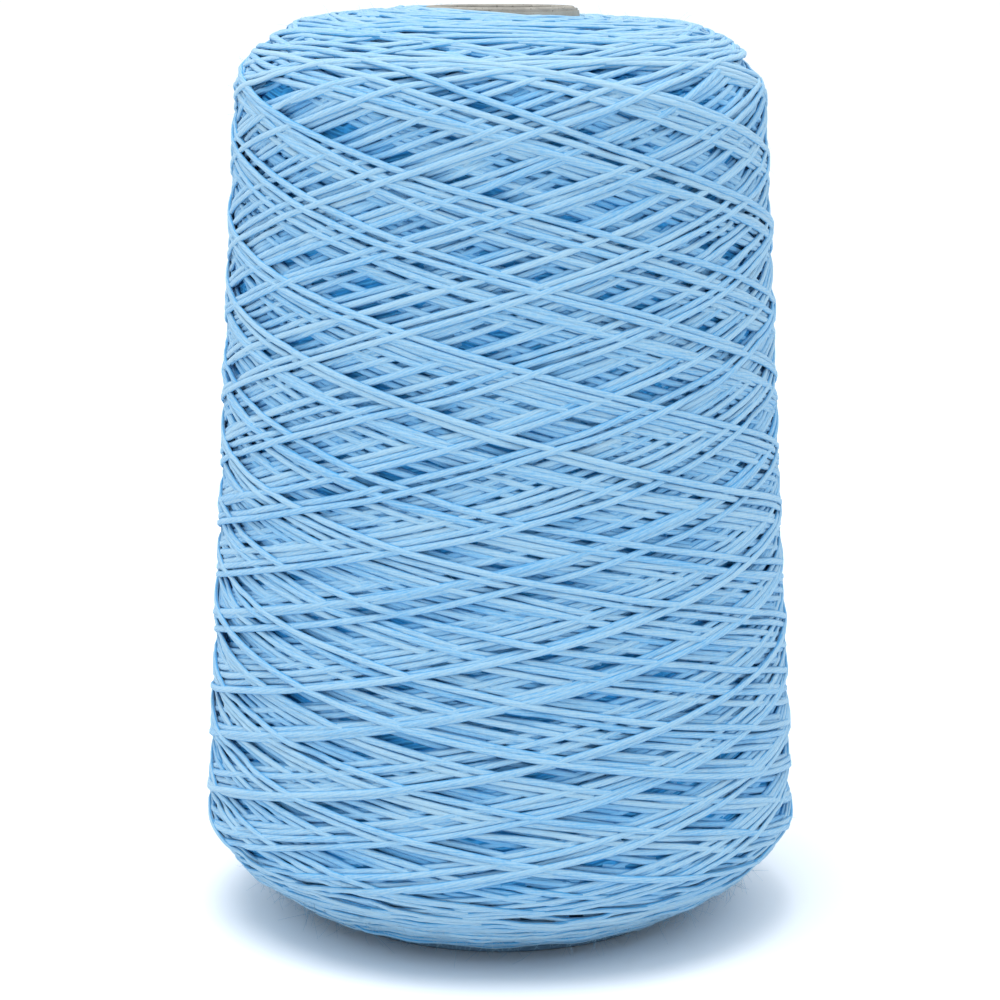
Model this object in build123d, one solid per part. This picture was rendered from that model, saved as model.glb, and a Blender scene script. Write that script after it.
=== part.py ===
from build123d import *
import math
import os

# Cone of cross-wound yarn: a rolled paper cone that stands on its base rim, with one strand wound
# on it in nested lays. Everything turns about Z, and Z = 0 is the plane of the base rim.
# Millimetres and degrees.

# Paper cone
CONE_LENGTH = 170.0  # base rim to the top of the nose
CONE_HALF_ANGLE = 5.95  # 5 degrees 57 minutes, the taper of the adapters that it fits
NOSE_RADIUS = 14.4  # outside, where the taper meets the top of the nose
LINER_PLY = 0.30  # thickness of each ply, from the hollow outwards
INNER_BOARD_PLY = 0.55
OUTER_BOARD_PLY = 0.50
FACING_PLY = 0.25
PLY_SET_BACK = 0.40  # each ply outside the inner board ends this much lower at the nose

# Nose of the inner board ply, rolled inwards
NOSE_ROLL = 1.25  # thickness of the rolled rim, from that board's outside to the mouth
NOSE_LAND = 4.5  # straight part of the mouth
NOSE_ROUND = 0.5  # rounding of the rolled rim

# Wound yarn
STRAND = 1.05  # diameter of the strand
BASE_GAP = 3.0  # bare paper between the floor and the lowest yarn
NOSE_GAP = 1.2  # bare paper above the highest yarn
BASE_SHOULDER_RADIUS = 55.6  # widest point of the package
SIDE_TAPER = 3.03  # lean of the straight side, in degrees
BASE_SHOULDER_WIDTH = 19.2  # radius taken up by the rounded shoulder at the base
BASE_SHOULDER_DEPTH = 16.4  # and its height
TOP_SHOULDER_WIDTH = 16.5
TOP_SHOULDER_DEPTH = 13.9
CROWN = 1.2  # rise of the top end face from the shoulder to the nose
BASE_FULLNESS = 0.24  # 0 is a plain chamfer and 0.55 a round shoulder
TOP_FULLNESS = 0.48
LAY_SHARES = {  # share of the yarn's thickness at which each lay starts and ends
    "yarn_first_lay": (0.0, 0.3),
    "yarn_middle_lay": (0.3, 0.64),
    "yarn_outer_lay": (0.64, 1.0),
}

# Reserve turns at the base, wound on the bare paper before the strand starts to traverse
RESERVE_TURNS = 2
RESERVE_CLEARANCE = 0.05  # between the turns, the paper and the yarn above

SLOPE = math.tan(math.radians(CONE_HALF_ANGLE))
ACROSS = math.cos(math.radians(CONE_HALF_ANGLE))
ROLL_FOOT = CONE_LENGTH - NOSE_ROUND - NOSE_LAND  # lower edge of the rolled rim
CROWN_TOP = CONE_LENGTH - NOSE_GAP
TOP_FACE_HEIGHT = CROWN_TOP - CROWN
TOP_SHOULDER_HEIGHT = TOP_FACE_HEIGHT - TOP_SHOULDER_DEPTH
MARGIN = 10.0  # how far a cutting outline runs past what it cuts


def cone_radius(height, depth=0.0):
    """Radius at a height of the cone surface that lies depth under the outside of the paper."""
    return NOSE_RADIUS + (CONE_LENGTH - height) * SLOPE - depth / ACROSS


def side_radius(height):
    """Radius of the package's straight side, or of its line carried on, at a height."""
    above = height - BASE_GAP - BASE_SHOULDER_DEPTH
    return BASE_SHOULDER_RADIUS - above * math.tan(math.radians(SIDE_TAPER))


def turned(outline):
    """Solid of revolution about Z from an outline drawn with X as radius and Y as height."""
    return revolve(Plane.XZ * outline, Axis.Z)


def ply(outer_depth, thickness, top):
    """One straight ply of the cone wall, from the base rim up to a height."""
    inner_depth = outer_depth + thickness
    return turned(
        Polygon(
            (cone_radius(0, inner_depth), 0),
            (cone_radius(0, outer_depth), 0),
            (cone_radius(top, outer_depth), top),
            (cone_radius(top, inner_depth), top),
            align=None,
        )
    )


def rolled_ply(outer_depth, thickness):
    """The ply whose upper end is rolled inwards into a thick, rounded rim with a straight mouth."""
    inner_depth = outer_depth + thickness
    rim_radius = cone_radius(CONE_LENGTH, outer_depth)
    mouth_radius = rim_radius - NOSE_ROLL
    section = Polygon(
        (cone_radius(0, inner_depth), 0),
        (cone_radius(0, outer_depth), 0),
        (rim_radius, CONE_LENGTH),
        (mouth_radius, CONE_LENGTH),
        (mouth_radius, ROLL_FOOT),
        (cone_radius(ROLL_FOOT, inner_depth), ROLL_FOOT),
        align=None,
    )
    rim = section.vertices().group_by(Axis.Y)[-1]
    return turned(fillet(rim, NOSE_ROUND))


def paper_cone():
    """The four plies, from the outside inwards. The liner ends under the rolled rim."""
    outer_board_depth = FACING_PLY
    inner_board_depth = outer_board_depth + OUTER_BOARD_PLY
    liner_depth = inner_board_depth + INNER_BOARD_PLY
    return {
        "cone_facing_ply": ply(0, FACING_PLY, CONE_LENGTH - 2 * PLY_SET_BACK),
        "cone_outer_board": ply(outer_board_depth, OUTER_BOARD_PLY, CONE_LENGTH - PLY_SET_BACK),
        "cone_inner_board": rolled_ply(inner_board_depth, INNER_BOARD_PLY),
        "cone_liner_ply": ply(liner_depth, LINER_PLY, ROLL_FOOT),
    }


def shoulder(start, corner, end, fullness):
    """Rounded shoulder that leaves start and reaches end along the lines that meet at corner."""
    start, corner, end = Vector(*start), Vector(*corner), Vector(*end)
    leave = start + (corner - start) * fullness
    reach = end + (corner - end) * fullness
    return Bezier(start, leave, reach, end)


def package_section():
    """Half section of the whole wound yarn, with the paper cone's surface as its inner side."""
    base_side = (BASE_SHOULDER_RADIUS, BASE_GAP + BASE_SHOULDER_DEPTH)
    base_corner = (side_radius(BASE_GAP), BASE_GAP)
    base_face = (BASE_SHOULDER_RADIUS - BASE_SHOULDER_WIDTH, BASE_GAP)
    top_side = (side_radius(TOP_SHOULDER_HEIGHT), TOP_SHOULDER_HEIGHT)
    top_corner = (side_radius(TOP_FACE_HEIGHT), TOP_FACE_HEIGHT)
    top_face = (top_side[0] - TOP_SHOULDER_WIDTH, TOP_FACE_HEIGHT)
    base_foot = (cone_radius(BASE_GAP), BASE_GAP)
    nose_foot = (cone_radius(CROWN_TOP), CROWN_TOP)
    outline = [
        Line(base_foot, base_face),
        shoulder(base_face, base_corner, base_side, BASE_FULLNESS),
        Line(base_side, top_side),
        shoulder(top_side, top_corner, top_face, TOP_FULLNESS),
        Line(top_face, nose_foot),
        Line(nose_foot, base_foot),
    ]
    return make_face(Wire(outline))


def lay_line(share):
    """Two points, below and above the package, of the slanted line where a lay starts or ends."""
    base = cone_radius(0) + share * (BASE_SHOULDER_RADIUS - cone_radius(0))
    top = cone_radius(CONE_LENGTH) + share * (side_radius(TOP_SHOULDER_HEIGHT) - cone_radius(CONE_LENGTH))
    lean = (top - base) / CONE_LENGTH
    return (base - lean * MARGIN, -MARGIN), (top + lean * MARGIN, CONE_LENGTH + MARGIN)


def wound_yarn():
    """The nested lays. The first one starts on the paper and the last one ends at the outside."""
    section = package_section()
    lays = {}
    for name, (start, end) in LAY_SHARES.items():
        low_in, high_in = lay_line(start)
        low_out, high_out = lay_line(end)
        if start == 0:
            low_in, high_in = (0, -MARGIN), (0, CONE_LENGTH + MARGIN)
        if end == 1:
            low_out = (BASE_SHOULDER_RADIUS + MARGIN, -MARGIN)
            high_out = (BASE_SHOULDER_RADIUS + MARGIN, CONE_LENGTH + MARGIN)
        strip = Polygon(low_in, low_out, high_out, high_in, align=None)
        lays[name] = turned(section & strip)
    return lays


def reserve_turns():
    """Separate rings of strand, side by side on the bare paper just under the lowest lay."""
    turns = []
    for index in range(RESERVE_TURNS):
        drop = (index + 0.5) * STRAND * ACROSS + (index + 1) * RESERVE_CLEARANCE
        height = BASE_GAP - drop
        radius = cone_radius(height) + (STRAND / 2 + RESERVE_CLEARANCE) / ACROSS
        turns.append(Pos(0, 0, height) * Torus(radius, STRAND / 2))
    return Compound(children=turns)


os.makedirs("parts", exist_ok=True)
pieces = paper_cone() | wound_yarn() | {"yarn_reserve_turns": reserve_turns()}
for node, shape in pieces.items():
    export_step(shape, f"parts/{node}.step")
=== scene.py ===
import math

import bpy
import numpy as np
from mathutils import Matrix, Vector


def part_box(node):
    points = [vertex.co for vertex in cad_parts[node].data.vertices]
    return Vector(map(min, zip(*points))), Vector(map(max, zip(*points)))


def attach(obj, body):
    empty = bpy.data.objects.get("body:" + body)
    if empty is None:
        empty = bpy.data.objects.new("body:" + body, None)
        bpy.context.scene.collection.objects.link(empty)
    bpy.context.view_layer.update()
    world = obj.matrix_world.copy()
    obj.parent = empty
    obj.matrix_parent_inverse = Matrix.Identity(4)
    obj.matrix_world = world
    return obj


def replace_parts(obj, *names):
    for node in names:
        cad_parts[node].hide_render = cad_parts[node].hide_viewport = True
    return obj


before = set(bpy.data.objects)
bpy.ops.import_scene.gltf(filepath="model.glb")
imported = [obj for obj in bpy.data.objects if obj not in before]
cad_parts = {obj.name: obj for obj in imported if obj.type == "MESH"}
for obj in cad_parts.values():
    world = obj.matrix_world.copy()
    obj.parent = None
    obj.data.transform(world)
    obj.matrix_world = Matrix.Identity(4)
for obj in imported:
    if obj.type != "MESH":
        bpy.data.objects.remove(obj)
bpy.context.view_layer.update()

# A cone of cross-wound yarn. Lengths in the winding are millimetres and angles radians, and
# MM turns them into the frame's metres. A place on the package is (along, turn, lift): the
# distance along its outline from the nose, the angle about Z and the height over the surface.
MM = 0.001
BODY = "root"
LAYS = ("yarn_first_lay", "yarn_middle_lay", "yarn_outer_lay")
RESERVE = "yarn_reserve_turns"
rng = np.random.default_rng(7)

# The strand, a soft tube with a flat top and foot
HALF_WIDTH = 0.66
HALF_HEIGHT = 0.42
FLAT = math.cos(math.pi / 6)  # height of a six-sided tube's flats, as a share of its corners'
RESERVE_HALF_WIDTH = 0.70  # flattened between the floor and the yarn above
SQUASH = 0.14  # how far a strand sinks into those under it
SIDES = 6
SEGMENT = 2.1  # length of tube between two rings
MOST_RINGS = 15500  # in one piece
PLIES = 7
PLY_LAY = 26.0  # length in which a ply goes once around the strand
TONE_REACH = 160.0  # length over which the strand's tone changes
SIZE_PLAY = 0.03  # spread of its size
SIZE_REACH = 35.0  # and the length over which that changes

# The winding: how the guide moves
DOUBLE_STROKES = 165  # of the guide, down to the base and back
MIDDLE_SHIFT = 5.0  # of the middle of the strokes, from the outline's middle towards the base
STROKE_POINTS = 900  # of a path from the middle to a reversal
ANGLE_NOSE = math.radians(16.0)  # slope of the strand near the nose
ANGLE_BASE = math.radians(10.4)
SLOPE_POWER = 0.8  # shape of the slope's change with height
USUAL_EASE = 8.0  # distance from a reversal over which the slope eases off
EASE_PLAY = (0.6, 1.4)  # least and most of it, as a share
WIND_RATIO = 2 / 7  # part turn that a double stroke adds, so the strand comes back after seven
WIND_CREEP = 0.0026  # more than that, so it comes back beside itself
STEADY_SHARE = 0.75  # of the winding, where the strand has its natural slope
GUIDE_PLAY = 0.0042  # spread of the turn gained in each stroke
SLOPE_PLAY = 0.02
REVERSAL_PLAY = 2.0  # spread of the places where the strand turns back
REVERSAL_ROOM = 0.8  # that those places keep from the ends of the outline
PLAY_REACH = 40.0  # distance from a reversal over which its play dies out
WANDER = 0.16  # how far the strand strays along the outline
WANDER_REACH = 45.0
WANDER_EASE = 150  # points
END_ROOM = 0.6  # that the strand keeps from the ends of the outline
CROWN_TURNS = 6  # of the level coil close around the paper nose
CROWN_PITCH = 1.15
CROWN_START = 0.7
CROWN_POINTS = 1600

# Distances from each end at which the double strokes turn back, at shares of the winding: the
# first close to the end, the last out on the shoulder
NOSE_SHARES, NOSE_REVERSALS = (0, 0.2, 0.42, 0.65, 1), (1.5, 8, 17, 25, 32)
BASE_SHARES, BASE_REVERSALS = (0, 0.2, 0.5, 1), (1.5, 6, 13, 20)

# The winding: how the strand comes to lie
SPACING = 0.3  # between two points of a path
CELL = 0.25  # of the height map, along the outline
COLUMNS = 1200  # of the height map, around the package
CORNER_EASE = 9  # points over which the outline's corners are rounded
DIP = 1 / 8  # sharpest dip of a tight strand, as a curvature
PRESS = 0.75  # share of a ridge that a strand presses down
PRESS_AT_BASE = 0.6  # where the strands lie level, side by side
BASE_ZONE = (14, 34)  # distances from the base between which one goes over into the other
MOST_PRESSED = 0.42
LEVEL_REACH = 4.0  # radius of the patch that a ridge is measured against
SETTLE_EVERY = 6  # double strokes, after which those patches are measured again
SAMPLES_ACROSS = 9  # of the height map, across a strand
REACH_ACROSS = 0.94  # of the outermost sample, as a share of the half width
SLIDE = 0.45  # how far a strand slides sideways into a furrow
SLIDE_COST = 0.05  # depth that each millimetre of sliding must gain
FURROW_PULL = 0.05  # difference in height that draws it in
FURROW_EASE = 36  # points
JOIN = 50  # points over which a stretch of the strand takes up the one before it
TUCK = 30  # points of a strand's end, tucked under its neighbours
TUCK_DEPTH = 1.6
SIGHT_SLACK = 0.06  # depth under others at which a strand still counts as in sight
SIGHT_MARGIN = 9  # points that a run in sight goes on, out of sight
SURFACE_EASE = 24  # points over which the height of the finished surface is smoothed
SUNK_FROM = 0.45  # depth under the surface at which a strand's colour starts to take painted shade
SUNK_OVER = 1.0  # and the further depth over which that painted shade grows full

# The crown leans: the yarn stands higher at the nose's left and lower at its right
LEAN = 0.06
LEAN_CENTRE = -5.0
LEAN_REACH = 26.0  # radius over which it dies out, down to the rest of it
LEAN_REST = 0.008
LEAN_FROM, LEAN_FULL = 120.0, 165.0  # heights between which it grows

# Other pieces
UNDER_DEPTH = 1.4  # of the yarn under the strands in sight
RESERVE_TURNS = 2
RESERVE_STEP = (0.93, 1.0)  # turns between which the reserve climbs onto its second turn
FIBRES = 6000
FIBRE_RADIUS = 0.024
FIBRE_POINTS = 5
FIBRE_LENGTHS = (0.7, 2.6)
LIP_HEIGHT = 12.0  # of the lower lip
LIP_SHARE = 9  # times as many fibres there as elsewhere
LIP_LENGTH = 1.7  # times as long, and as thick


# ---------------------------------------------------------------- outline of the package

def node_points(name):
    """Radius and height, in mm, of every vertex of a CAD node."""
    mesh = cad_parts[name].data
    flat = np.empty(len(mesh.vertices) * 3)
    mesh.vertices.foreach_get("co", flat)
    x, y, z = flat.reshape(-1, 3).T / MM
    return np.column_stack([np.hypot(x, y), z])


def turns_in(a, b, c):
    """Whether b lies inside the line from a to c, so the outline can do without it."""
    return (b[0] - a[0]) * (c[1] - a[1]) <= (c[0] - a[0]) * (b[1] - a[1])


def outer_chain(points):
    """The outer side of the half section that holds the points, from its top to its foot."""
    order = points[np.lexsort((-points[:, 0], points[:, 1]))]
    chain = []
    for p in order:
        while len(chain) > 1 and turns_in(chain[-2], chain[-1], p):
            chain.pop()
        chain.append(p)
    foot = order[order[:, 1] < order[0, 1] + 0.01].min(axis=0)
    return np.array([foot] + chain)[::-1]


def even_steps(line, step):
    """The same line with its points a step apart."""
    run = np.concatenate([[0], np.cumsum(np.hypot(*np.diff(line, axis=0).T))])
    at = np.linspace(0, run[-1], max(int(round(run[-1] / step)), 1) + 1)
    return np.column_stack([np.interp(at, run, line[:, k]) for k in range(line.shape[1])])


def eased(values, reach):
    """Values with their corners rounded over a few neighbours, and their ends kept."""
    weights = np.hanning(2 * reach + 3)[1:-1]
    ends = np.arange(1, reach + 1)
    before = 2 * values[0] - values[ends[::-1]]
    after = 2 * values[-1] - values[-1 - ends]
    return np.convolve(np.concatenate([before, values, after]), weights / weights.sum(), "valid")


def ramp(count):
    """A smooth way from 0 to 1."""
    return 0.5 - 0.5 * np.cos(np.linspace(0, np.pi, count))


class Outline:
    """The outside of the wound yarn as a line that is turned about Z."""

    def __init__(self):
        line = even_steps(outer_chain(np.vstack([node_points(n) for n in LAYS])), CELL)
        self.radius, self.height = (eased(line[:, k], CORNER_EASE) for k in (0, 1))
        d_radius, d_height = np.gradient(self.radius), np.gradient(self.height)
        size = np.hypot(d_radius, d_height)
        self.out_r, self.out_z = -d_height / size, d_radius / size
        self.at = np.arange(len(line)) * CELL
        self.length = self.at[-1]

    def value(self, column, along):
        return np.interp(along, self.at, column)

    def place(self, along, turn, lift):
        """Points in mm for places on the package."""
        r = self.value(self.radius, along) + lift * self.value(self.out_r, along)
        z = self.value(self.height, along) + lift * self.value(self.out_z, along)
        x, y = r * np.cos(turn), r * np.sin(turn)
        high = np.clip((z - LEAN_FROM) / (LEAN_FULL - LEAN_FROM), 0, 1)
        lean = LEAN * np.exp(-(r / LEAN_REACH) ** 2) + LEAN_REST
        drop = (x - LEAN_CENTRE) * lean * high * high * (3 - 2 * high)
        return np.column_stack([x, y, z - drop])

    def outward(self, along, turn):
        r, z = self.value(self.out_r, along), self.value(self.out_z, along)
        return np.column_stack([r * np.cos(turn), r * np.sin(turn), z])


# ---------------------------------------------------------------- path of the strand

def half_stroke(outline, middle, end, ease):
    """Places along the outline, and the turn gained at each, from the middle to a reversal. The
    slope eases off towards the reversal, where the strand runs level."""
    s = np.linspace(0, 1, STROKE_POINTS)
    along = middle + (end - middle) * np.sin(np.pi * s / 2)
    mid = (along[1:] + along[:-1]) / 2
    height = (outline.value(outline.height, mid) / outline.height.max()) ** SLOPE_POWER
    slope = np.tan(ANGLE_BASE + (ANGLE_NOSE - ANGLE_BASE) * height)
    slope = slope * np.sqrt(np.clip(np.abs(end - mid) / ease, 0, 1))
    gain = np.abs(np.diff(along)) / (outline.value(outline.radius, mid) * slope)
    return along, np.concatenate([[0], np.cumsum(gain)])


def usual_gain(outline, middle, end):
    """Turn gained from the middle of the package to a reversal and back."""
    return 2 * half_stroke(outline, middle, end, USUAL_EASE)[1][-1]


def loop(outline, middle, usual_end, play, gain):
    """From the middle of the package to a reversal and back. The reversal's play, and what it
    changes in the turn gained, stay close to the reversal, so the strands stay parallel."""
    scale = gain / usual_gain(outline, middle, usual_end) * rng.normal(1, SLOPE_PLAY)
    end = usual_end + play
    out, out_turn = half_stroke(outline, middle, end, USUAL_EASE * rng.uniform(*EASE_PLAY))
    back, back_turn = half_stroke(outline, middle, end, USUAL_EASE * rng.uniform(*EASE_PLAY))
    spare = gain - (out_turn[-1] + back_turn[-1]) * scale
    near = [np.clip(1 - np.abs(end - a) / PLAY_REACH, 0, 1) ** 2 * spare / 2 for a in (out, back)]
    out_turn = out_turn * scale + near[0]
    back_turn = back_turn * scale + near[1]
    along = np.concatenate([out, back[-2::-1]])
    return along, np.concatenate([out_turn, out_turn[-1] + back_turn[-1] - back_turn[-2::-1]])


def nose_reversal(share):
    """Where a double stroke turns back at the nose. share runs from 0 to 1 through the winding."""
    return np.interp(share, NOSE_SHARES, NOSE_REVERSALS)


def base_reversal(outline, share):
    return outline.length - np.interp(share, BASE_SHARES, BASE_REVERSALS)


def crown_path():
    """The level coil around the nose, that the reversals there lie on."""
    turn = np.linspace(0, 2 * np.pi * CROWN_TURNS, CROWN_POINTS)
    return np.column_stack([CROWN_START + CROWN_PITCH * turn / (2 * np.pi), turn])


def slow_noise(count, reach):
    """Random values, with a spread of about one, that change slowly along the strand."""
    marks = rng.normal(0, 1, int(count * SPACING / reach) + 3)
    return np.interp(np.arange(count) * SPACING / reach, np.arange(len(marks)), marks)


def wound_path(outline):
    """The strand's path from the first turn to the last, as (along, turn) SPACING apart, and the
    points where each double stroke starts."""
    middle = outline.length / 2 + MIDDLE_SHIFT
    base_gain = usual_gain(outline, middle, base_reversal(outline, STEADY_SHARE))
    both = base_gain + usual_gain(outline, middle, nose_reversal(STEADY_SHARE))
    whole_turn = 2 * np.pi
    part = WIND_RATIO + WIND_CREEP
    both = (round(both / whole_turn - part) + part) * whole_turn
    along, turn, starts = [], [], [0]
    reached, count = 0.0, 0
    for share in np.linspace(0, 1, DOUBLE_STROKES):
        ends = base_reversal(outline, share), nose_reversal(share)
        for end, gain in zip(ends, (base_gain, both - base_gain)):
            room = min(abs(end), abs(outline.length - end)) - REVERSAL_ROOM
            play = np.clip(rng.normal(0, REVERSAL_PLAY), -room, room)
            gain = gain + rng.normal(0, GUIDE_PLAY) * whole_turn
            a, t = loop(outline, middle, end, play, gain)
            along.append(a[:-1])
            turn.append(reached + t[:-1])
            reached += t[-1]
            count += len(a) - 1
        starts.append(count)
    along, turn = np.concatenate(along), np.concatenate(turn)
    radius = outline.value(outline.radius, along)
    step = np.hypot(np.diff(along), np.diff(turn) * (radius[1:] + radius[:-1]) / 2)
    run = np.concatenate([[0], np.cumsum(step)])
    at = np.arange(0, run[-1], SPACING)
    path = np.column_stack([np.interp(at, run, along), np.interp(at, run, turn)])
    path[:, 0] += eased(slow_noise(len(path), WANDER_REACH), WANDER_EASE) * WANDER
    path[:, 0] = np.clip(path[:, 0], END_ROOM, outline.length - END_ROOM)
    return path, np.searchsorted(at, run[starts[1:-1]])


# ---------------------------------------------------------------- laying the strand down

def tight(rest, dip):
    """The lowest line over the heights in rest that dips nowhere more sharply than dip."""
    x = np.arange(len(rest)) * SPACING
    y = rest - dip * x * x / 2
    xs, ys = x.tolist(), y.tolist()
    keep = []
    for i in range(len(xs)):
        while len(keep) > 1:
            a, b = keep[-2], keep[-1]
            if (ys[b] - ys[a]) * (xs[i] - xs[a]) > (ys[i] - ys[a]) * (xs[b] - xs[a]):
                break
            keep.pop()
        keep.append(i)
    return np.interp(x, x[keep], y[keep]) + dip * x * x / 2


def blurred(grid, reach_rows, reach_columns):
    """A height map blurred over a patch. It closes on itself around the package only."""
    rows = np.concatenate([grid[::-1], grid, grid[::-1]])
    for axis, reach in ((0, reach_rows), (1, reach_columns)):
        size = rows.shape[axis]
        pull = np.exp(-2 * (np.pi * reach * np.fft.rfftfreq(size)) ** 2)
        shape = (-1, 1) if axis == 0 else (1, -1)
        rows = np.fft.irfft(np.fft.rfft(rows, axis=axis) * pull.reshape(shape), size, axis=axis)
    return rows[len(grid):2 * len(grid)]


class HeightMap:
    """How high the strands laid so far stand over the package's surface."""

    def __init__(self, outline):
        self.outline = outline
        self.rows = len(outline.at)
        self.map = np.zeros((self.rows, COLUMNS))
        self.level = self.map
        self.offsets = np.linspace(-REACH_ACROSS, REACH_ACROSS, SAMPLES_ACROSS) * HALF_WIDTH
        arch = np.sqrt(1 - (self.offsets / HALF_WIDTH) ** 2)
        self.bulge = HALF_HEIGHT * np.minimum(arch, FLAT)
        self.start()

    def beside(self, path, offsets):
        """Places beside a path, at each sideways offset."""
        radius = self.outline.value(self.outline.radius, path[:, 0])
        d_along = np.gradient(path[:, 0])
        d_turn = np.gradient(path[:, 1]) * radius
        size = np.hypot(d_along, d_turn) + 1e-9
        along = path[:, 0, None] + offsets * (d_turn / size)[:, None]
        turn = path[:, 1, None] - offsets * (d_along / size / radius)[:, None]
        return along, turn

    def cells(self, path, offsets):
        along, turn = self.beside(path, offsets)
        rows = np.clip(np.round(along / CELL).astype(int), 0, self.rows - 1)
        return rows, np.round(turn / (2 * np.pi) * COLUMNS).astype(int) % COLUMNS

    def start(self):
        """Begins a strand that joins no other."""
        self.last_shift = self.last_lift = None

    def settle(self):
        self.level = blurred(self.map, LEVEL_REACH / CELL, LEVEL_REACH / CELL)

    def joined(self, values, before):
        """Values that start from where the stretch before them ended."""
        if before is None:
            return values
        count = min(JOIN, len(values))
        values[:count] += (before - values[0]) * (1 - ramp(count))
        return values

    def slid(self, path):
        """The path moved sideways into the furrows beside it."""
        offsets = np.linspace(-1, 1, SAMPLES_ACROSS) * SLIDE
        under = self.map[self.cells(path, offsets)] + SLIDE_COST * np.abs(offsets)
        under = np.column_stack([eased(under[:, k], FURROW_EASE) for k in range(len(offsets))])
        pull = np.exp(-(under - under.min(axis=1, keepdims=True)) / FURROW_PULL)
        shift = eased((pull * offsets).sum(axis=1) / pull.sum(axis=1), FURROW_EASE)
        shift = self.joined(shift, self.last_shift)
        self.last_shift = shift[-1]
        along, turn = self.beside(path, shift[:, None])
        return np.column_stack([along[:, 0], turn[:, 0]])

    def lay(self, path):
        """Lays a stretch of strand, and returns where it ends up and its height."""
        path = self.slid(path)
        cells = self.cells(path, self.offsets)
        under = (self.map[cells] + self.bulge).max(axis=1)
        ridge = under - HALF_HEIGHT * FLAT - self.level[cells][:, len(self.offsets) // 2]
        press = np.interp(self.outline.length - path[:, 0], BASE_ZONE, (PRESS_AT_BASE, PRESS))
        rest = under - SQUASH - np.clip(press * ridge, 0, MOST_PRESSED * press / PRESS)
        lift = self.joined(eased(tight(rest, DIP), 2), self.last_lift)
        self.last_lift = lift[-1]
        np.maximum.at(self.map, cells, lift[:, None] + self.bulge)
        return path, lift

    def in_sight(self, path, lift):
        """Whether each point of the laid strand shows anywhere across its width."""
        cells = self.cells(path, self.offsets)
        return (self.map[cells] <= lift[:, None] + self.bulge + SIGHT_SLACK).any(axis=1)


def runs_of(mask, margin):
    """Start and end of each stretch of True, once each has been widened by the margin."""
    wide = np.convolve(mask, np.ones(2 * margin + 1), "same") > 0
    edges = np.flatnonzero(np.diff(np.concatenate([[0], wide, [0]])))
    return zip(edges[::2], edges[1::2])


def shown_runs(heights, path, lift):
    """Every run of a laid strand that shows: points, outward directions, distance along it, tone,
    size and the painted shade that its depth gives it."""
    outline = heights.outline
    seen = heights.in_sight(path, lift)
    lift[-TUCK:] -= TUCK_DEPTH * ramp(TUCK)
    lift[:TUCK] -= TUCK_DEPTH * ramp(TUCK)[::-1]
    surface = eased(eased(heights.map.mean(axis=1), SURFACE_EASE), SURFACE_EASE)
    over = lift - outline.value(surface, path[:, 0])
    tone = slow_noise(len(path), TONE_REACH)
    size = 1 + SIZE_PLAY * slow_noise(len(path), SIZE_REACH)
    runs = []
    for a, b in runs_of(seen, SIGHT_MARGIN):
        pieces = max(int(round((b - a) * SPACING / SEGMENT)), 2)
        pick = np.unique(np.linspace(a, b - 1, pieces + 1).astype(int))
        along, turn = path[pick].T
        runs.append({
            "points": outline.place(along, turn, over[pick]),
            "outward": outline.outward(along, turn),
            "along": pick * SPACING,
            "tone": tone[pick],
            "size": size[pick],
            "sunk_shade": np.clip(-(over[pick] + SUNK_FROM) / SUNK_OVER, 0, 1),
        })
    return runs


def wind(outline):
    """Winds the package, and returns the runs that show of its two strands: the crown's coil and
    the long one that crosses it."""
    heights = HeightMap(outline)
    crown = heights.lay(crown_path())
    heights.start()
    path, cuts = wound_path(outline)
    stretches = []
    for index, stretch in enumerate(np.split(path, cuts)):
        if index % SETTLE_EVERY == 0:
            heights.settle()
        stretches.append(heights.lay(stretch))
    wound = np.vstack([s[0] for s in stretches]), np.concatenate([s[1] for s in stretches])
    return shown_runs(heights, *crown) + shown_runs(heights, *wound)


# ---------------------------------------------------------------- node trees

class Tree:
    """Adds nodes to a node tree. A node's settings are set before its sockets, which get values,
    output sockets or expressions, by name or by number."""

    def __init__(self, tree):
        self.tree = tree

    def add(self, kind, settings=None, sockets=None):
        node = self.tree.nodes.new(kind)
        for key, value in (settings or {}).items():
            setattr(node, key, value)
        for key, value in (sockets or {}).items():
            self.feed(node.inputs[key], value)
        return node

    def feed(self, socket, value):
        if isinstance(value, Value):
            value = value.socket
        if isinstance(value, bpy.types.NodeSocket):
            self.tree.links.new(value, socket)
        else:
            socket.default_value = value

    def math(self, operation, *values):
        node = self.add("ShaderNodeMath", {"operation": operation}, dict(enumerate(values)))
        return Value(self, node.outputs[0])


class Value:
    """A number socket. An expression on it adds its Math nodes."""

    def __init__(self, tree, socket):
        self.tree = tree
        self.socket = socket

    def __add__(self, other):
        return self.tree.math("ADD", self, other)

    __radd__ = __add__

    def __mul__(self, other):
        return self.tree.math("MULTIPLY", self, other)

    __rmul__ = __mul__

    def __sub__(self, other):
        return self.tree.math("SUBTRACT", self, other)

    def __rsub__(self, other):
        return self.tree.math("SUBTRACT", other, self)

    def __abs__(self):
        return self.tree.math("ABSOLUTE", self)

    def wave(self):
        """Cosine of the value, from 0 to 1."""
        return self.tree.math("COSINE", self) * 0.5 + 0.5

    def within(self, low, high):
        """0 at low, 1 at high, and smooth between them."""
        node = self.tree.add("ShaderNodeMapRange", {"interpolation_type": "SMOOTHSTEP"},
                             {"Value": self, "From Min": low, "From Max": high})
        return Value(self.tree, node.outputs["Result"])


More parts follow.
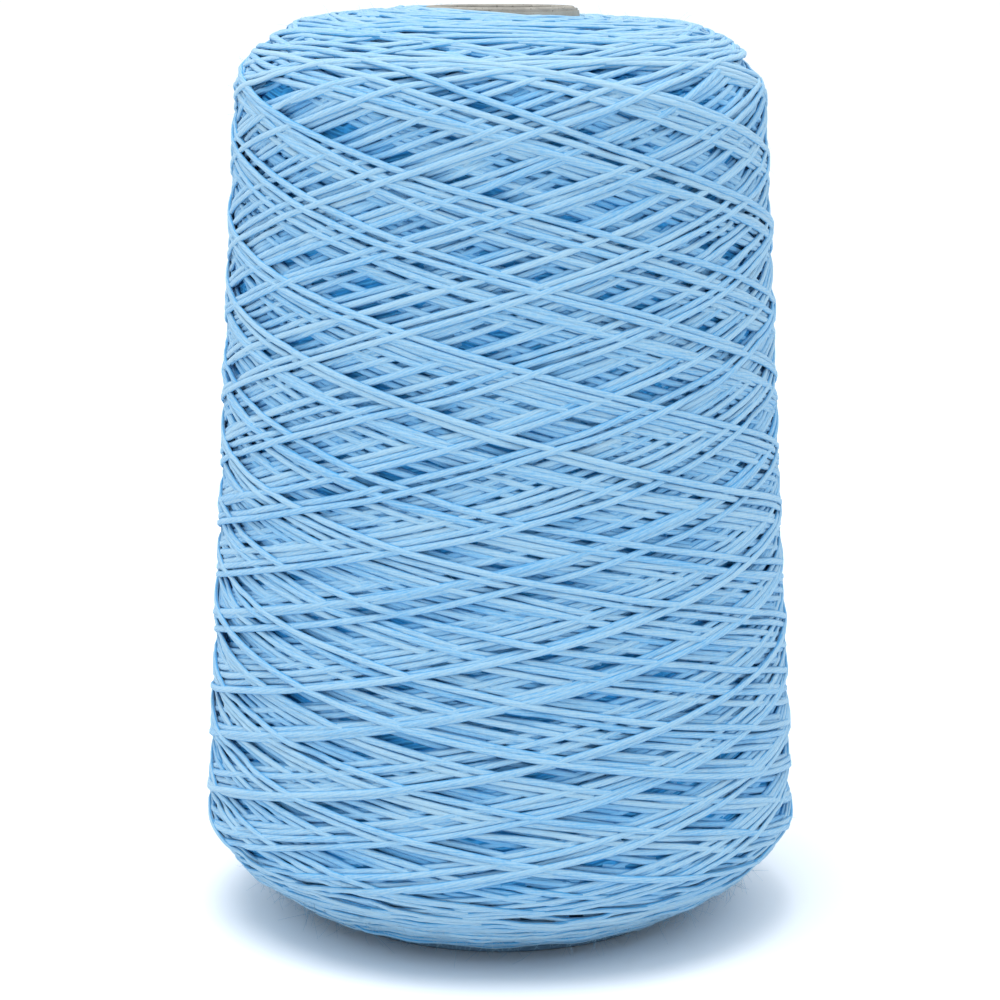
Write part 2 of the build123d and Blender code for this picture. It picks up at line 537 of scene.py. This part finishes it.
class Finish(Tree):
    """A material with one Principled shader."""

    def __init__(self, name, **constants):
        self.material = bpy.data.materials.new(name)
        self.material.use_nodes = True
        super().__init__(self.material.node_tree)
        self.shader = self.tree.nodes["Principled BSDF"]
        for key, value in constants.items():
            self.shader.inputs[key.replace("_", " ")].default_value = value

    def attribute(self, name):
        return self.add("ShaderNodeAttribute", {"attribute_name": name})

    def parts(self, vector):
        node = self.add("ShaderNodeSeparateXYZ", sockets={"Vector": vector})
        return [Value(self, out) for out in node.outputs]

    def vector(self, x, y, z):
        return self.add("ShaderNodeCombineXYZ", sockets={"X": x, "Y": y, "Z": z}).outputs[0]

    def object_place(self):
        return self.add("ShaderNodeTexCoord").outputs["Object"]

    def noise(self, vector, scale, detail):
        node = self.add("ShaderNodeTexNoise", sockets={"Vector": vector, "Scale": scale,
                                                       "Detail": detail, "Roughness": 0.6})
        return Value(self, node.outputs[0])

    def mix(self, factor, first, second):
        """A colour between two. Each is a linear colour or another mix."""
        node = self.add("ShaderNodeMix", {"data_type": "RGBA"})
        self.feed(node.inputs[0], factor)
        self.feed(node.inputs[6], first)
        self.feed(node.inputs[7], second)
        return node.outputs[2]

    def wear(self, color, roughness, height, distance, strength):
        """Gives the shader its colour, roughness and relief."""
        bump = self.add("ShaderNodeBump", sockets={"Height": height, "Distance": distance,
                                                   "Strength": strength})
        self.feed(self.shader.inputs["Base Color"], color)
        self.feed(self.shader.inputs["Roughness"], roughness)
        self.feed(self.shader.inputs["Normal"], bump.outputs[0])
        return self.material


# ---------------------------------------------------------------- finishes

# CREST is the yarn's own colour. GROOVE, darker and bluer, is painted shade and dark mottle
CREST = (0.340, 0.514, 0.632, 1)
GROOVE = (0.062, 0.325, 0.620, 1)
# Painted shade, for strands that lie deep under others
SHADE = (0.076, 0.364, 0.685, 1)
# Painted shade, darker still, for the yarn under the strands in sight
PAINTED_DEEP_SHADE = (0.026, 0.255, 0.600, 1)
# The reserve turns' colours: the strand's, darkened as painted shade under the package's lip
RESERVE_SHADE_CREST = (0.130, 0.230, 0.330, 1)
RESERVE_SHADE_GROOVE = (0.040, 0.120, 0.220, 1)
FACING_PAPER = (0.52, 0.48, 0.41, 1), (0.38, 0.35, 0.30, 1)  # light and dark
GREY_BOARD = (0.44, 0.41, 0.36, 1), (0.28, 0.26, 0.23, 1)
LINER_PAPER = (0.50, 0.44, 0.35, 1), (0.36, 0.31, 0.25, 1)


def strand_finish(name, crest, groove):
    """Soft plies twisted gently together, with fine fibres that follow them."""
    m = Finish(name, Sheen_Weight=0.12, Sheen_Roughness=0.6, Specular_IOR_Level=0.2)
    along = Value(m, m.attribute("along").outputs["Fac"])
    tone = Value(m, m.attribute("tone").outputs["Fac"])
    across, beside, _ = m.parts(m.attribute("around").outputs["Vector"])
    twist = m.math("ARCTAN2", beside, across) + along * (2 * math.pi / PLY_LAY)
    around = m.math("COSINE", twist) * 2.6, m.math("SINE", twist) * 2.6
    fibres = m.noise(m.vector(*around, along * 0.22), 2.2, 4.0)
    mottle = m.noise(m.vector(beside, across, along * 0.9), 1.3, 3.0)
    patches = m.noise(m.vector(along * 0.06, tone, 0.0), 1.0, 2.0)
    # The grooves between plies are painted darker, as shade
    plies = (twist * PLIES).wave()
    # Painted shade along the strand's edges
    side = abs(beside).within(0.66, 1.0)
    # Painted ply and edge shade, with random fibres, mottle, patches and tone
    shade_and_mottle = plies * 0.22 + fibres * 0.8 + mottle * 0.6 + patches * 0.5 + tone * 0.08
    color = m.mix((shade_and_mottle - side * 0.6 - 0.40).within(0.0, 1.0), groove, crest)
    # Strands that lie deep get painted shade: their colour is mixed towards SHADE
    sunk_shade = Value(m, m.attribute("sunk_shade").outputs["Fac"])
    color = m.mix(sunk_shade * 0.6, color, SHADE)
    height = plies * 0.5 + fibres * 0.8 + mottle * 0.4
    return m.wear(color, 0.74 + fibres * 0.2, height, 0.00009, 0.7)


def deep_finish(outline):
    """The yarn under the strands in sight: the same strands, crossing, with their shade painted
    into the colour as dark blue. They run level around the nose."""
    m = Finish("yarn_under_lays", Specular_IOR_Level=0.1)
    place = m.object_place()
    x, y, _ = m.parts(place)
    turn = m.math("ARCTAN2", y, x)
    along = Value(m, m.attribute("along").outputs["Fac"])
    across = math.pi / HALF_WIDTH
    slope = math.tan((ANGLE_NOSE + ANGLE_BASE) / 2)
    count = round(across * slope * outline.radius.max())
    one_way = (turn * count + along * across).wave()
    other_way = (turn * count - along * across).wave()
    patches = m.noise(place, 90.0, 2.0).within(0.42, 0.58)
    crossed = one_way * patches + other_way * (1 - patches)
    open_out = along.within(12.0, 32.0)
    strands = crossed * open_out + (along * across).wave() * (1 - open_out)
    # The colour is painted shade: dark blue between the strands, the groove colour on them
    color = m.mix(strands * 0.8 + m.noise(place, 900.0, 3.0) * 0.2, PAINTED_DEEP_SHADE, GROOVE)
    return m.wear(color, 0.9, strands, 0.0006, 1.0)


def darkened(color, share):
    return tuple(share * c for c in color[:3]) + (1,)


def paper_finish(name, light, dark, speckle, worn_from, worn_to):
    """Pulp paper with fibres and flecks, and a handled edge between two heights."""
    m = Finish(name, Specular_IOR_Level=0.3)
    place = m.object_place()
    x, y, z = m.parts(place)
    clouds = m.noise(place, 160.0, 4.0)
    pulp = m.noise(m.vector(x, y, z * 0.35), 1900.0, 4.0)
    flecks = m.noise(place, 2600.0, 1.0).within(0.64, 0.72)
    handled = z.within(worn_from, worn_to) * m.noise(place, 420.0, 3.0).within(0.35, 0.65)
    color = m.mix(clouds * 0.45 + pulp * 0.55, dark, light)
    color = m.mix(flecks * speckle, color, darkened(dark, 0.35))
    color = m.mix(handled * 0.35, color, darkened(dark, 0.55))
    return m.wear(color, 0.82 + pulp * 0.16 - handled * 0.14, pulp + clouds * 0.6, 0.00006, 0.55)


# ---------------------------------------------------------------- tubes by geometry nodes

def strand_tree(material):
    """Geometry nodes that turn lines with an outward direction into flattened, capped tubes."""
    group = bpy.data.node_groups.new("strand_tubes", "GeometryNodeTree")
    face = group.interface
    face.new_socket("Geometry", in_out="INPUT", socket_type="NodeSocketGeometry")
    for name in ("Half Width", "Half Height"):
        face.new_socket(name, in_out="INPUT", socket_type="NodeSocketFloat")
    face.new_socket("Sides", in_out="INPUT", socket_type="NodeSocketInt")
    face.new_socket("Geometry", in_out="OUTPUT", socket_type="NodeSocketGeometry")
    t = Tree(group)
    given = t.add("NodeGroupInput").outputs
    outward = t.add("GeometryNodeInputNamedAttribute", {"data_type": "FLOAT_VECTOR"},
                    {"Name": "outward"})
    size = t.add("GeometryNodeInputNamedAttribute", {"data_type": "FLOAT"}, {"Name": "size"})
    line = t.add("GeometryNodeMeshToCurve", sockets={"Mesh": given["Geometry"]})
    line = t.add("GeometryNodeSetCurveNormal", {"mode": "FREE"},
                 {"Curve": line.outputs[0], "Normal": outward.outputs[0]})
    ring = t.add("GeometryNodeCurvePrimitiveCircle",
                 sockets={"Resolution": given["Sides"], "Radius": 1.0})
    half_side = t.math("DIVIDE", math.pi, given["Sides"])
    upright = t.add("ShaderNodeCombineXYZ", sockets={"Z": half_side})
    ring = t.add("GeometryNodeTransform", sockets={"Geometry": ring.outputs["Curve"],
                                                   "Rotation": upright.outputs[0]})
    place = t.add("GeometryNodeInputPosition")
    ring = t.add("GeometryNodeStoreNamedAttribute",
                 {"data_type": "FLOAT_VECTOR", "domain": "POINT"},
                 {"Geometry": ring.outputs[0], "Name": "around", "Value": place.outputs[0]})
    flat = t.add("ShaderNodeCombineXYZ",
                 sockets={"X": given["Half Height"], "Y": given["Half Width"], "Z": 1.0})
    ring = t.add("GeometryNodeTransform",
                 sockets={"Geometry": ring.outputs[0], "Scale": flat.outputs[0]})
    tube = t.add("GeometryNodeCurveToMesh", sockets={
        "Curve": line.outputs[0], "Profile Curve": ring.outputs[0],
        "Scale": size.outputs[0], "Fill Caps": True})
    tube = t.add("GeometryNodeSetShadeSmooth", sockets={"Geometry": tube.outputs[0]})
    tube = t.add("GeometryNodeRealizeInstances", sockets={"Geometry": tube.outputs[0]})
    tube = t.add("GeometryNodeSetMaterial",
                 sockets={"Geometry": tube.outputs[0], "Material": material})
    t.add("NodeGroupOutput", sockets={"Geometry": tube.outputs[0]})
    return group


def new_object(name, mesh):
    piece = bpy.data.objects.new(name, mesh)
    bpy.context.scene.collection.objects.link(piece)
    return piece


def line_mesh(runs):
    """One mesh of loose edges with a chain for each run, and the runs' values as attributes."""
    counts = [len(r["along"]) for r in runs]
    starts = np.concatenate([[0], np.cumsum(counts)[:-1]])
    edges = np.concatenate([np.arange(a, a + n - 1) for a, n in zip(starts, counts)])
    mesh = bpy.data.meshes.new("strand_lines")
    mesh.vertices.add(sum(counts))
    mesh.vertices.foreach_set("co", (np.vstack([r["points"] for r in runs]) * MM).ravel())
    mesh.edges.add(len(edges))
    mesh.edges.foreach_set("vertices", np.column_stack([edges, edges + 1]).ravel())
    for name, kind, field in (("outward", "FLOAT_VECTOR", "vector"), ("along", "FLOAT", "value"),
                              ("tone", "FLOAT", "value"), ("size", "FLOAT", "value"),
                              ("sunk_shade", "FLOAT", "value")):
        values = np.concatenate([r[name] for r in runs]).astype(np.float32).ravel()
        mesh.attributes.new(name, kind, "POINT").data.foreach_set(field, values)
    return mesh


def applied(piece, group, values):
    """The piece with the tree's result as its plain mesh. values are the tree's named inputs."""
    modifier = piece.modifiers.new("made", "NODES")
    modifier.node_group = group
    for item in group.interface.items_tree:
        if item.in_out == "INPUT" and item.name in values:
            modifier[item.identifier] = values[item.name]
    now = bpy.context.evaluated_depsgraph_get()
    mesh = bpy.data.meshes.new_from_object(piece.evaluated_get(now), depsgraph=now)
    piece.modifiers.clear()
    piece.data = mesh
    mesh.name = piece.name
    return piece


def finished(piece):
    """The piece, riding on the body."""
    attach(piece, BODY)
    return piece


def tubes(name, runs, group, half_width, half_height, sides):
    """Makes one piece of the runs as tubes."""
    sizes = {"Half Width": half_width * MM, "Half Height": half_height * MM, "Sides": sides}
    finished(applied(new_object(name, line_mesh(runs)), group, sizes))


def wound_strand(runs, group):
    """Makes the runs as tubes, in pieces of at most so many rings."""
    shares, held = [[]], 0
    for run in runs:
        if held + len(run["along"]) > MOST_RINGS:
            shares.append([])
            held = 0
        shares[-1].append(run)
        held += len(run["along"])
    for number, share in enumerate(shares, 1):
        tubes(f"wound_strand_{number:02d}", share, group, HALF_WIDTH, HALF_HEIGHT, SIDES)


# ---------------------------------------------------------------- other pieces of yarn

def reserve_run():
    """The first turns of the strand, on the bare paper under the wound yarn."""
    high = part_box(RESERVE)[1]
    top = high[2] / MM - RESERVE_HALF_WIDTH
    bottom = RESERVE_HALF_WIDTH + 0.1
    start, end = -0.25, 2 * np.pi * RESERVE_TURNS - 0.1
    angle = np.linspace(start, end, 150 * RESERVE_TURNS)
    radius, height = node_points("cone_facing_ply").T
    foot = radius[height < 1.0].max()
    nose = radius[height > height.max() - 8].max()
    lean = (foot - nose) / height.max()
    climbed = np.interp(angle / (2 * np.pi), (0, *RESERVE_STEP, RESERVE_TURNS), (0, 0, 1, 1))
    z = bottom + (top - bottom) * climbed
    r = foot - lean * z + HALF_HEIGHT * FLAT
    ring = np.cos(angle), np.sin(angle)
    steady = np.ones(len(angle))
    return {
        "points": np.column_stack([r * ring[0], r * ring[1], z]),
        "outward": np.column_stack([*ring, lean * steady]),
        "along": r * angle,
        "tone": 0 * steady,
        "size": steady,
        "sunk_shade": 0 * steady,
    }


def fibre_runs(runs, count):
    """Short loose fibres that stand off the strands in sight. They are longest, and there are most
    of them, at the lower lip, which rubs on what the package stands on."""
    near_lip = np.array([r["points"][:, 2].mean() < LIP_HEIGHT for r in runs])
    weights = np.array([len(r["along"]) for r in runs]) * (1 + (LIP_SHARE - 1) * near_lip)
    chosen = rng.choice(len(runs), count, p=weights / weights.sum())
    t = np.linspace(0, 1, FIBRE_POINTS)[:, None]
    fibres = []
    for k in chosen:
        run = runs[k]
        long = LIP_LENGTH if near_lip[k] else 1.0
        at = rng.integers(0, len(run["along"]))
        outward = run["outward"][at]
        start = run["points"][at] + outward * HALF_HEIGHT * 0.7
        lean = rng.normal(0, 1, 3)
        lean = lean + outward * (abs(rng.normal(0, 0.8)) - lean @ outward)
        curl = rng.normal(0, 0.7, 3) - outward * 0.5
        length = rng.uniform(*FIBRE_LENGTHS) * long
        points = start + length * (lean / np.linalg.norm(lean) * t + curl * t * t / 2)
        points[:, 2] = np.maximum(points[:, 2], 0.15)
        side = np.cross(lean, rng.normal(0, 1, 3))
        fibres.append({
            "points": points,
            "outward": np.tile(side / np.linalg.norm(side), (FIBRE_POINTS, 1)),
            "along": at + t[:, 0],
            "tone": np.full(FIBRE_POINTS, 1.5),
            "size": (1 - 0.6 * t[:, 0]) * long,
            "sunk_shade": np.zeros(FIBRE_POINTS),
        })
    return fibres


def under_lays(outline):
    """The yarn under the strands in sight, as one closed turned solid."""
    rings, columns = 240, 180
    at = np.linspace(0, outline.length, rings)
    angle = np.linspace(0, 2 * np.pi, columns, endpoint=False)
    along, turn = (g.ravel() for g in np.meshgrid(at, angle, indexing="ij"))
    points = outline.place(along, turn, np.full(along.shape, -UNDER_DEPTH))
    i, j = (g.ravel() for g in np.meshgrid(np.arange(rings), np.arange(columns), indexing="ij"))
    here, there = i * columns, (i + 1) % rings * columns
    ahead = (j + 1) % columns
    faces = np.column_stack([here + j, there + j, there + ahead, here + ahead])
    mesh = bpy.data.meshes.new("yarn_under_lays")
    mesh.from_pydata((points * MM).tolist(), [], faces.tolist())
    mesh.polygons.foreach_set("use_smooth", np.ones(len(faces), bool))
    stored = mesh.attributes.new("along", "FLOAT", "POINT")
    stored.data.foreach_set("value", along.astype(np.float32))
    # Its finish paints the shade of the strands above it into its colour
    mesh.materials.append(deep_finish(outline))
    return finished(new_object("yarn_under_lays", mesh))


outline = Outline()
runs = wind(outline)
clean_tubes = strand_tree(strand_finish("yarn_strand", CREST, GROOVE))
wound_strand(runs, clean_tubes)
# The reserve turns are coloured dark as painted shade, for the shade under the lower lip
painted_shade_tubes = strand_tree(strand_finish("yarn_reserve", RESERVE_SHADE_CREST, RESERVE_SHADE_GROOVE))
tubes("reserve_turns", [reserve_run()], painted_shade_tubes, RESERVE_HALF_WIDTH, HALF_HEIGHT, SIDES)
tubes("loose_fibres", fibre_runs(runs, FIBRES), clean_tubes, FIBRE_RADIUS, FIBRE_RADIUS, 3)
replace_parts(under_lays(outline), *LAYS, RESERVE)


# ---------------------------------------------------------------- paper cone

def cover(node, material):
    """Gives a CAD node its finish."""
    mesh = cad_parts[node].data
    mesh.materials.clear()
    mesh.materials.append(material)


nose_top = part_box("cone_inner_board")[1][2]
worn = nose_top - 0.004, nose_top
cover("cone_facing_ply", paper_finish("facing_paper", *FACING_PAPER, 0.5, *worn))
grey_board = paper_finish("grey_board", *GREY_BOARD, 0.8, *worn)
cover("cone_outer_board", grey_board)
cover("cone_inner_board", grey_board)
cover("cone_liner_ply", paper_finish("liner_paper", *LINER_PAPER, 0.4, *worn))


# ---------------------------------------------------------------- floor, light and camera

def pale_floor():
    """A round pale floor that curves up at its far edge, so that it has no horizon."""
    flat, curve, sides, steps = 9.0, 1.7, 96, 16
    bend = np.linspace(0, np.pi / 2, steps)
    radius = np.concatenate([[0.5, 2.0], flat + curve * np.sin(bend)])
    height = np.concatenate([[0.0, 0.0], curve * (1 - np.cos(bend))])
    angle = np.linspace(0, 2 * np.pi, sides, endpoint=False)
    rings = [np.column_stack([r * np.cos(angle), r * np.sin(angle), np.full(sides, z)])
             for r, z in zip(radius, height)]
    faces = [list(range(sides))]
    for inner in range(0, sides * (len(rings) - 1), sides):
        outer = inner + sides
        for j in range(sides):
            ahead = (j + 1) % sides
            faces.append([inner + j, outer + j, outer + ahead, inner + ahead])
    mesh = bpy.data.meshes.new("floor")
    mesh.from_pydata(np.vstack(rings).tolist(), [], faces)
    m = Finish("floor", Base_Color=(0.88, 0.90, 0.93, 1), Roughness=0.95, Specular_IOR_Level=0.0)
    mesh.materials.append(m.material)
    new_object("floor", mesh)


def soft_box(name, place, target, size, watts):
    """A round lamp at a place, turned to its target."""
    lamp = bpy.data.lights.new(name, "AREA")
    lamp.shape = "DISK"
    lamp.size = size
    lamp.energy = watts
    light = new_object(name, lamp)
    light.location = place
    light.rotation_euler = (Vector(target) - Vector(place)).to_track_quat("-Z", "Y").to_euler()


def studio_sky(low, high):
    """A sky that is white and bright overhead, and dimmer and cooler at the horizon."""
    world = bpy.data.worlds.new("studio")
    world.use_nodes = True
    bpy.context.scene.world = world
    t = Tree(world.node_tree)
    direction = t.add("ShaderNodeTexCoord").outputs["Generated"]
    up = t.add("ShaderNodeSeparateXYZ", sockets={"Vector": direction}).outputs["Z"]
    height = t.math("MAXIMUM", Value(t, up), 0.0)
    color = t.add("ShaderNodeMix", {"data_type": "RGBA"})
    t.feed(color.inputs[0], height)
    t.feed(color.inputs[6], (0.70, 0.87, 1.0, 1))
    t.feed(color.inputs[7], (1, 1, 1, 1))
    background = world.node_tree.nodes["Background"]
    t.feed(background.inputs["Color"], color.outputs[2])
    t.feed(background.inputs["Strength"], height * (high - low) + low)


pale_floor()
studio_sky(0.62, 1.60)
soft_box("top_soft_box", (-0.15, -0.25, 1.2), (0, 0, 0.08), 0.8, 8.0)
bpy.context.scene.view_settings.view_transform = "Standard"

camera_data = bpy.data.cameras.new("camera")
camera_data.lens = 107.6
camera = new_object("camera", camera_data)
camera.location = (0, -0.5536, 0.1836)
camera.rotation_euler = (math.radians(90 - 10.8), 0, 0)
bpy.context.scene.camera = camera
